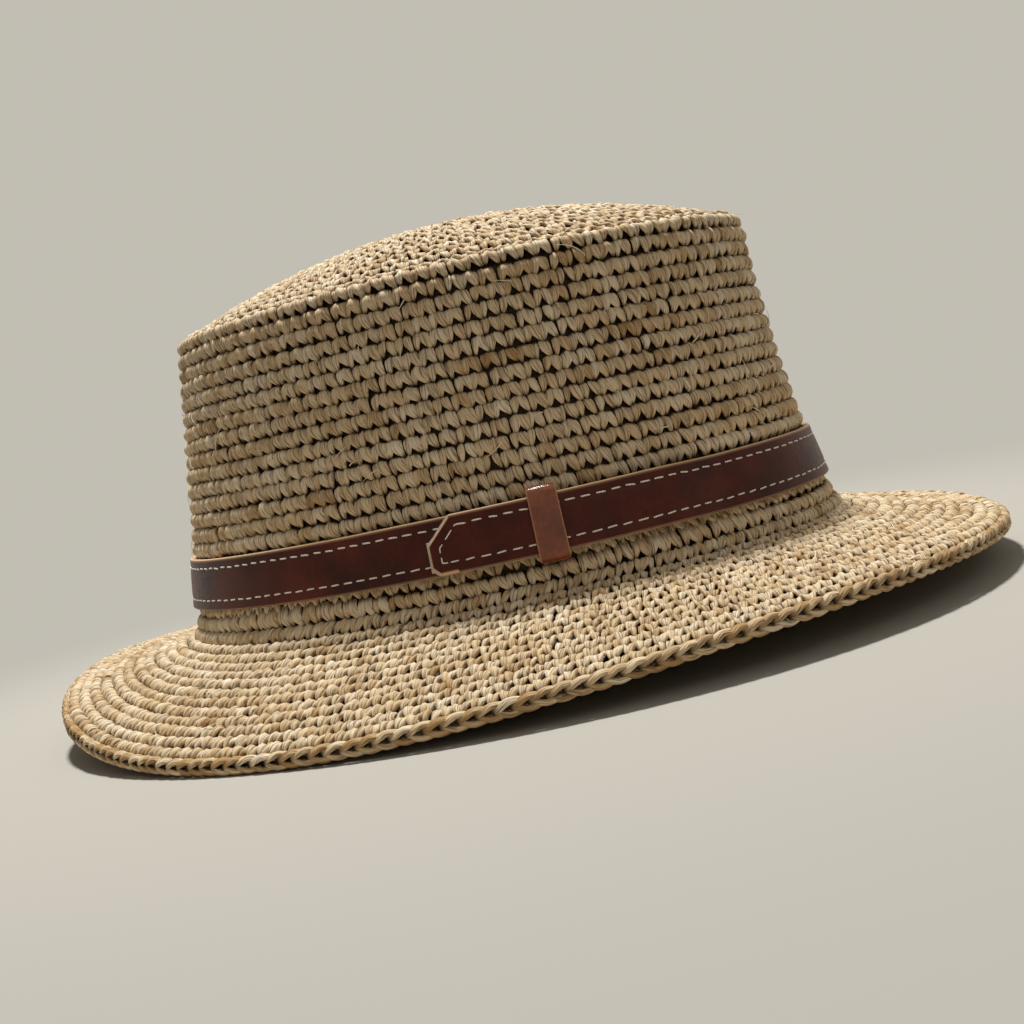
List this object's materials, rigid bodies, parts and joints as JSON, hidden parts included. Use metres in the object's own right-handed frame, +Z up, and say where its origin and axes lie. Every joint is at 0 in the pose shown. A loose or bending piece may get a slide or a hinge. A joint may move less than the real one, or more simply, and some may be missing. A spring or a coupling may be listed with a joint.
{
  "type": "panama hat",
  "caption": "Crocheted straw hat with a tapered oval crown, domed tip, drooping oval brim, and a stitched leather band held by a leather keeper loop.",
  "frame": {"origin": "on the level surface that the hat stands on, at the middle of its brim", "axes": "+X to the wearer's front, +Y to the wearer's left, +Z up along the crown"},
  "size_m": [0.3, 0.276, 0.1323],
  "materials": {
    "straw": "dull natural raffia straw",
    "ribbon": "plain woven cotton ribbon",
    "band_leather": "dark reddish brown leather, half gloss",
    "lining": "pale raw lining leather",
    "keeper_leather": "tan brown leather, half gloss"
  },
  "bodies": {
    "hat": {"crown_tip": "straw", "crown_side": "straw", "brim": "straw", "brim_edge_round": "straw", "sweatband": "ribbon"},
    "band": {"band_leather": "band_leather", "band_lining": "lining"},
    "keeper": {"keeper_loop": "keeper_leather"}
  },
  "joints": [
    {"name": "band_lift", "type": "slide", "parent": "hat", "child": "band", "axis": [0, 0, 1], "range_m": [0, 0.075]},
    {"name": "keeper_slide", "type": "hinge", "parent": "band", "child": "keeper", "pos_m": [-0.00145, 0.03443, 0.04053], "axis": [0, 0, 1], "range_deg": [-7.5, 7]}
  ]
}
